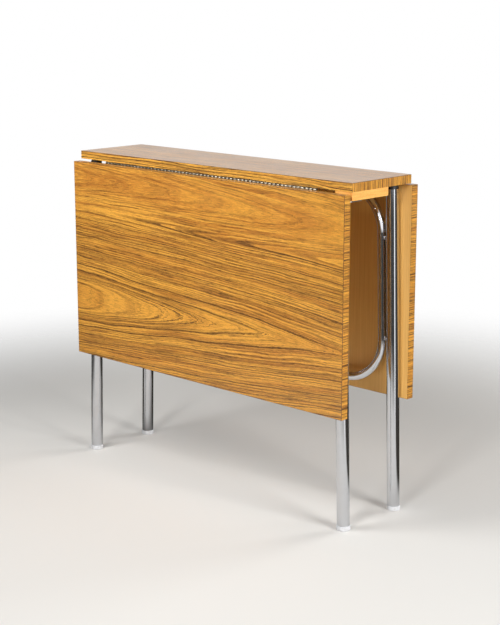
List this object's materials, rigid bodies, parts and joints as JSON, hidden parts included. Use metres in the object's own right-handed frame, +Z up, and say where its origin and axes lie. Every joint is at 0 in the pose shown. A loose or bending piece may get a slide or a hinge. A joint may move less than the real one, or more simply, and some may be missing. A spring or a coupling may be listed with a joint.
{
  "type": "butterfly folding table",
  "caption": "Folding table with a narrow centre board, two hanging drop leaves on piano hinges and tubular chrome legs, two of which swing out on upright posts to carry the leaves.",
  "frame": {"origin": "on the floor under the middle of the centre board", "axes": "+X along the table, +Y towards the rear leaf, +Z up"},
  "size_m": [0.85, 0.242, 0.75],
  "materials": {
    "laminate": "satin teak-patterned laminate",
    "edge_band": "satin teak-patterned edge band",
    "backing": "matt plain beech-coloured backing laminate",
    "chipboard": "raw chipboard",
    "batten": "sawn softwood, sealed",
    "chrome_tube": "bright chrome plating",
    "plate_steel": "zinc-plated",
    "hinge_steel": "nickel-plated",
    "stud_steel": "plated weld stud",
    "screw_steel": "zinc-plated",
    "white_plastic": "moulded white plastic",
    "black_plastic": "moulded black plastic"
  },
  "bodies": {
    "top_and_fixed_legs": {"centre_backing": "backing", "centre_core": "chipboard", "centre_end_bands": "edge_band", "centre_face": "laminate", "centre_long_bands": "edge_band", "front_fixed_foot": "white_plastic", "front_fixed_leg": "chrome_tube", "front_fixed_loop": "chrome_tube", "front_fixed_studs": "stud_steel", "front_frame_screws": "screw_steel", "front_hinge_fixed_plate": "hinge_steel", "front_hinge_fixed_screws": "screw_steel", "front_hinge_pin": "hinge_steel", "front_leg_plate": "plate_steel", "front_post": "chrome_tube", "front_post_cap": "black_plastic", "front_post_plate": "plate_steel", "left_batten": "batten", "left_batten_screws": "screw_steel", "rear_fixed_foot": "white_plastic", "rear_fixed_leg": "chrome_tube", "rear_fixed_loop": "chrome_tube", "rear_fixed_studs": "stud_steel", "rear_frame_screws": "screw_steel", "rear_hinge_fixed_plate": "hinge_steel", "rear_hinge_fixed_screws": "screw_steel", "rear_hinge_pin": "hinge_steel", "rear_leg_plate": "plate_steel", "rear_post": "chrome_tube", "rear_post_cap": "black_plastic", "rear_post_plate": "plate_steel", "right_batten": "batten", "right_batten_screws": "screw_steel"},
    "front_gate": {"front_gate_collars": "chrome_tube", "front_gate_foot": "white_plastic", "front_gate_leg": "chrome_tube", "front_gate_loop": "chrome_tube", "front_gate_plug": "black_plastic", "front_gate_studs": "stud_steel"},
    "front_leaf": {"front_hinge_leaf_plate": "hinge_steel", "front_hinge_leaf_screws": "screw_steel", "front_leaf_backing": "backing", "front_leaf_core": "chipboard", "front_leaf_end_bands": "edge_band", "front_leaf_face": "laminate", "front_leaf_long_bands": "edge_band"},
    "rear_gate": {"rear_gate_collars": "chrome_tube", "rear_gate_foot": "white_plastic", "rear_gate_leg": "chrome_tube", "rear_gate_loop": "chrome_tube", "rear_gate_plug": "black_plastic", "rear_gate_studs": "stud_steel"},
    "rear_leaf": {"rear_hinge_leaf_plate": "hinge_steel", "rear_hinge_leaf_screws": "screw_steel", "rear_leaf_backing": "backing", "rear_leaf_core": "chipboard", "rear_leaf_end_bands": "edge_band", "rear_leaf_face": "laminate", "rear_leaf_long_bands": "edge_band"}
  },
  "joints": [
    {"name": "front_leaf_hinge", "type": "hinge", "parent": "top_and_fixed_legs", "child": "front_leaf", "pos_m": [0, -0.098, 0.727], "axis": [-1, 0, 0], "range_deg": [0, 90]},
    {"name": "rear_leaf_hinge", "type": "hinge", "parent": "top_and_fixed_legs", "child": "rear_leaf", "pos_m": [0, 0.098, 0.727], "axis": [1, 0, 0], "range_deg": [0, 90]},
    {"name": "front_gate_swing", "type": "hinge", "parent": "top_and_fixed_legs", "child": "front_gate", "pos_m": [0, -0.07, 0.5], "axis": [0, 0, 1], "range_deg": [-7, 0]},
    {"name": "rear_gate_swing", "type": "hinge", "parent": "top_and_fixed_legs", "child": "rear_gate", "pos_m": [0, 0.07, 0.5], "axis": [0, 0, 1], "range_deg": [-7, 0]}
  ]
}
